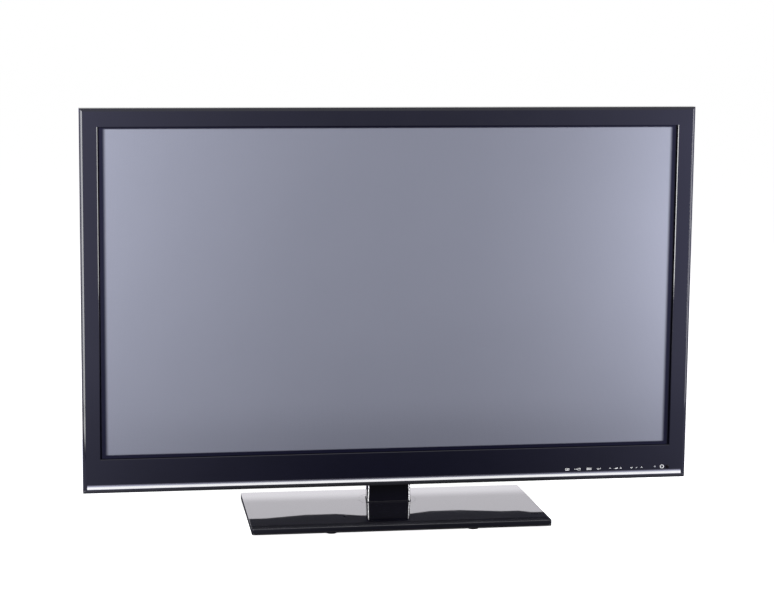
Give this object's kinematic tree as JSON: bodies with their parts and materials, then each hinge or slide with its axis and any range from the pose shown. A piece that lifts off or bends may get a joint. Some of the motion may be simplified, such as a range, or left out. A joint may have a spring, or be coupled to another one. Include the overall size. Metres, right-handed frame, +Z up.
{
  "type": "plasma television",
  "caption": "Flat plasma television with a gloss black bezel on a swivelling table stand, with push keys under its lower edge.",
  "frame": {"origin": "on the table, under the middle of the base", "axes": "+X to the viewer's right, +Y away from the viewer, +Z up"},
  "size_m": [0.984, 0.236, 0.652],
  "materials": {
    "gloss_black": "high gloss",
    "bright_strip": "bright",
    "screen_glass": "semi-gloss",
    "panel_glass": "satin",
    "soft_gasket": "matte",
    "heat_sheet": "matte",
    "chassis_aluminium": "mill",
    "sink_aluminium": "satin",
    "plated_steel": "zinc plated",
    "terminal_steel": "matte",
    "screw_steel": "plated",
    "bearing_plastic": "smooth",
    "foot_rubber": "matte",
    "back_plastic": "fine texture",
    "speaker_plastic": "matte",
    "cone_paper": "matte",
    "dark_window": "gloss",
    "capacitor_sleeve": "gloss",
    "winding_tape": "satin",
    "cable_film": "satin",
    "socket_plastic": "matte",
    "display_plastic": "matte",
    "socket_shell": "nickel plated",
    "key_plastic": "gloss",
    "circuit_board": "satin"
  },
  "bodies": {
    "base": {"base_cover": "gloss_black", "base_plate": "plated_steel", "base_feet": "foot_rubber", "base_screws": "screw_steel", "bearing_ring": "bearing_plastic"},
    "set": {"address_boards": "circuit_board", "address_heat_bar": "sink_aluminium", "aerial_socket": "socket_shell", "board_heat_sinks": "sink_aluminium", "chassis": "chassis_aluminium", "control_board": "circuit_board", "display_socket": "display_plastic", "flat_cables": "cable_film", "front_bezel": "gloss_black", "front_glass": "screen_glass", "hdmi_sockets": "socket_shell", "heat_sheet": "heat_sheet", "inner_screws": "screw_steel", "key_board": "circuit_board", "main_board": "circuit_board", "mains_inlet": "socket_plastic", "metal_strip": "bright_strip", "neck_bolts": "screw_steel", "neck_front_cover": "gloss_black", "neck_hatch": "back_plastic", "neck_post": "plated_steel", "neck_rear_cover": "gloss_black", "power_board": "circuit_board", "power_capacitors": "capacitor_sleeve", "power_transformers": "winding_tape", "rear_cover": "back_plastic", "rear_glass": "panel_glass", "rear_screws": "screw_steel", "round_jacks": "socket_plastic", "scan_boards": "circuit_board", "screen_gasket": "soft_gasket", "sensor_board": "circuit_board", "sensor_window": "dark_window", "speaker_boxes": "speaker_plastic", "speaker_cones": "cone_paper", "stand_bracket": "plated_steel", "sustain_board_y": "circuit_board", "sustain_board_z": "circuit_board", "swivel_nut": "screw_steel", "terminal_plate": "terminal_steel", "turntable": "plated_steel", "turntable_cover": "gloss_black", "usb_socket": "socket_shell", "wall_mount_inserts": "plated_steel", "wall_rails": "plated_steel"},
    "channel_down_key": {"channel_down_key": "key_plastic"},
    "channel_up_key": {"channel_up_key": "key_plastic"},
    "enter_key": {"enter_key": "key_plastic"},
    "input_key": {"input_key": "key_plastic"},
    "menu_key": {"menu_key": "key_plastic"},
    "power_key": {"power_key": "key_plastic"},
    "ratio_key": {"ratio_key": "key_plastic"},
    "volume_down_key": {"volume_down_key": "key_plastic"},
    "volume_up_key": {"volume_up_key": "key_plastic"}
  },
  "joints": [
    {"name": "stand_swivel", "type": "hinge", "parent": "base", "child": "set", "pos_m": [0, 0.0483, 0.0075], "axis": [0, 0, 1], "range_deg": [-20, 20]},
    {"name": "channel_down_key_press", "type": "slide", "parent": "set", "child": "channel_down_key", "axis": [0, 0, 1], "range_m": [0, 0.0008], "stiffness_N_per_m": 500, "springref_m": -0.0002},
    {"name": "channel_up_key_press", "type": "slide", "parent": "set", "child": "channel_up_key", "axis": [0, 0, 1], "range_m": [0, 0.0008], "stiffness_N_per_m": 500, "springref_m": -0.0002},
    {"name": "enter_key_press", "type": "slide", "parent": "set", "child": "enter_key", "axis": [0, 0, 1], "range_m": [0, 0.0008], "stiffness_N_per_m": 500, "springref_m": -0.0002},
    {"name": "input_key_press", "type": "slide", "parent": "set", "child": "input_key", "axis": [0, 0, 1], "range_m": [0, 0.0008], "stiffness_N_per_m": 500, "springref_m": -0.0002},
    {"name": "menu_key_press", "type": "slide", "parent": "set", "child": "menu_key", "axis": [0, 0, 1], "range_m": [0, 0.0008], "stiffness_N_per_m": 500, "springref_m": -0.0002},
    {"name": "power_key_press", "type": "slide", "parent": "set", "child": "power_key", "axis": [0, 0, 1], "range_m": [0, 0.0008], "stiffness_N_per_m": 500, "springref_m": -0.0002},
    {"name": "ratio_key_press", "type": "slide", "parent": "set", "child": "ratio_key", "axis": [0, 0, 1], "range_m": [0, 0.0008], "stiffness_N_per_m": 500, "springref_m": -0.0002},
    {"name": "volume_down_key_press", "type": "slide", "parent": "set", "child": "volume_down_key", "axis": [0, 0, 1], "range_m": [0, 0.0008], "stiffness_N_per_m": 500, "springref_m": -0.0002},
    {"name": "volume_up_key_press", "type": "slide", "parent": "set", "child": "volume_up_key", "axis": [0, 0, 1], "range_m": [0, 0.0008], "stiffness_N_per_m": 500, "springref_m": -0.0002}
  ]
}
